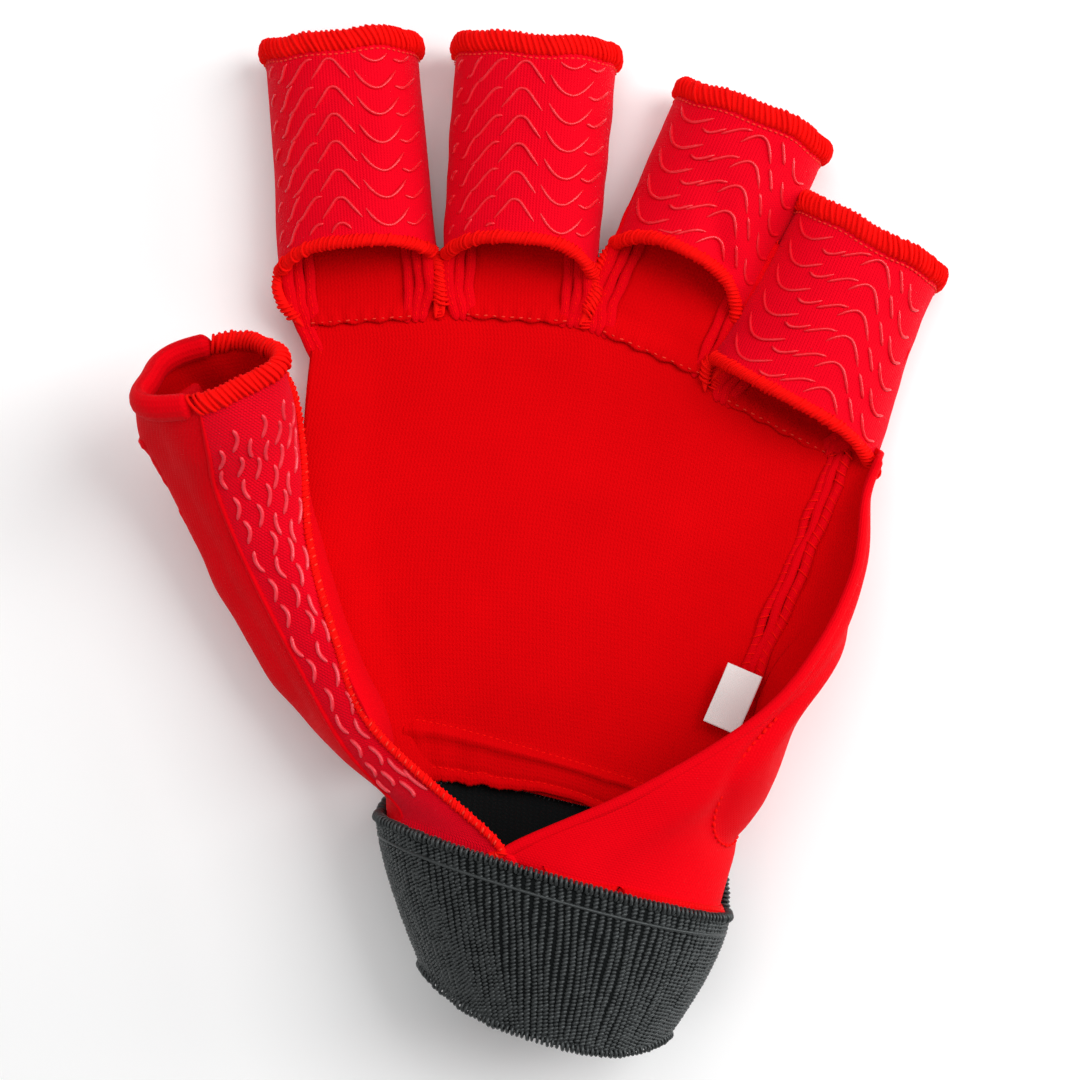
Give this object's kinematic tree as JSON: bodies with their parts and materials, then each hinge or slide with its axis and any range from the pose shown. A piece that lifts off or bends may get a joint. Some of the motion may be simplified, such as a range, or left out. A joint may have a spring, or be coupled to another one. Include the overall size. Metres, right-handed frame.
{
  "type": "field hockey glove",
  "caption": "Left-hand open-palm glove with half-length padded finger stalls, a thumb stall, a foam-padded back, a side flap and a wide elastic cuff.",
  "frame": {"origin": "centre of the outer face of the middle foam pad on the back of the hand, where the glove rests on a table", "axes": "+X towards the little-finger edge, +Y from the wrist towards the fingertips, +Z out of the palm"},
  "size_m": [0.1552, 0.1962, 0.0416],
  "materials": {
    "grip_fabric": "stretch knit with raised glossy silicone wave lines",
    "lining_fabric": "smooth brushed lining knit",
    "shell_fabric": "fine ribbed stretch knit",
    "hem_thread": "dense overlock thread",
    "foam_pad": "moulded foam under stretch knit",
    "cuff_elastic": "coarse woven elastic",
    "label_tape": "satin label tape, blank"
  },
  "bodies": {
    "hand": {"hand_lining": "lining_fabric", "hand_shell": "shell_fabric", "knuckle_pad": "foam_pad", "upper_pad": "foam_pad", "middle_pad": "foam_pad", "lower_pad": "foam_pad", "wrist_pad": "foam_pad", "little_side_pad": "foam_pad", "side_flap": "shell_fabric", "side_seam": "hem_thread", "web_tacks": "hem_thread", "wrist_facing": "lining_fabric", "cuff_front": "cuff_elastic", "cuff_back": "cuff_elastic", "care_label": "label_tape", "thumb_base_grip": "grip_fabric", "thumb_base_back": "shell_fabric", "thumb_base_pad": "foam_pad", "thumb_edge_seam": "hem_thread"},
    "index": {"index_grip_panel": "grip_fabric", "index_back_lining": "lining_fabric", "index_back_shell": "shell_fabric", "index_back_pad": "foam_pad", "index_tip_hem": "hem_thread", "index_base_hem": "hem_thread"},
    "middle": {"middle_grip_panel": "grip_fabric", "middle_back_lining": "lining_fabric", "middle_back_shell": "shell_fabric", "middle_back_pad": "foam_pad", "middle_tip_hem": "hem_thread", "middle_base_hem": "hem_thread"},
    "ring": {"ring_grip_panel": "grip_fabric", "ring_back_lining": "lining_fabric", "ring_back_shell": "shell_fabric", "ring_back_pad": "foam_pad", "ring_tip_hem": "hem_thread", "ring_base_hem": "hem_thread"},
    "little": {"little_grip_panel": "grip_fabric", "little_back_lining": "lining_fabric", "little_back_shell": "shell_fabric", "little_back_pad": "foam_pad", "little_tip_hem": "hem_thread", "little_base_hem": "hem_thread"},
    "thumb": {"thumb_tip_grip": "grip_fabric", "thumb_tip_back": "shell_fabric", "thumb_tip_hem": "hem_thread", "thumb_tip_pad": "foam_pad"}
  },
  "joints": [
    {"name": "index_flex", "type": "hinge", "parent": "hand", "child": "index", "pos_m": [-0.0352, 0.0436, 0.0058], "axis": [0.9976, 0.0698, 0], "range_deg": [0, 70]},
    {"name": "middle_flex", "type": "hinge", "parent": "hand", "child": "middle", "pos_m": [-0.0046, 0.044, 0.0058], "axis": [0.9976, -0.0698, 0], "range_deg": [0, 70]},
    {"name": "ring_flex", "type": "hinge", "parent": "hand", "child": "ring", "pos_m": [0.022, 0.0372, 0.0058], "axis": [0.9171, -0.3987, 0], "range_deg": [0, 70]},
    {"name": "little_flex", "type": "hinge", "parent": "hand", "child": "little", "pos_m": [0.0466, 0.0226, 0.0058], "axis": [0.8829, -0.4695, 0], "range_deg": [0, 70]},
    {"name": "thumb_flex", "type": "hinge", "parent": "hand", "child": "thumb", "pos_m": [-0.05413, 0.01065, 0.03082], "axis": [0.9258, 0.3779, 0], "range_deg": [0, 40]}
  ]
}
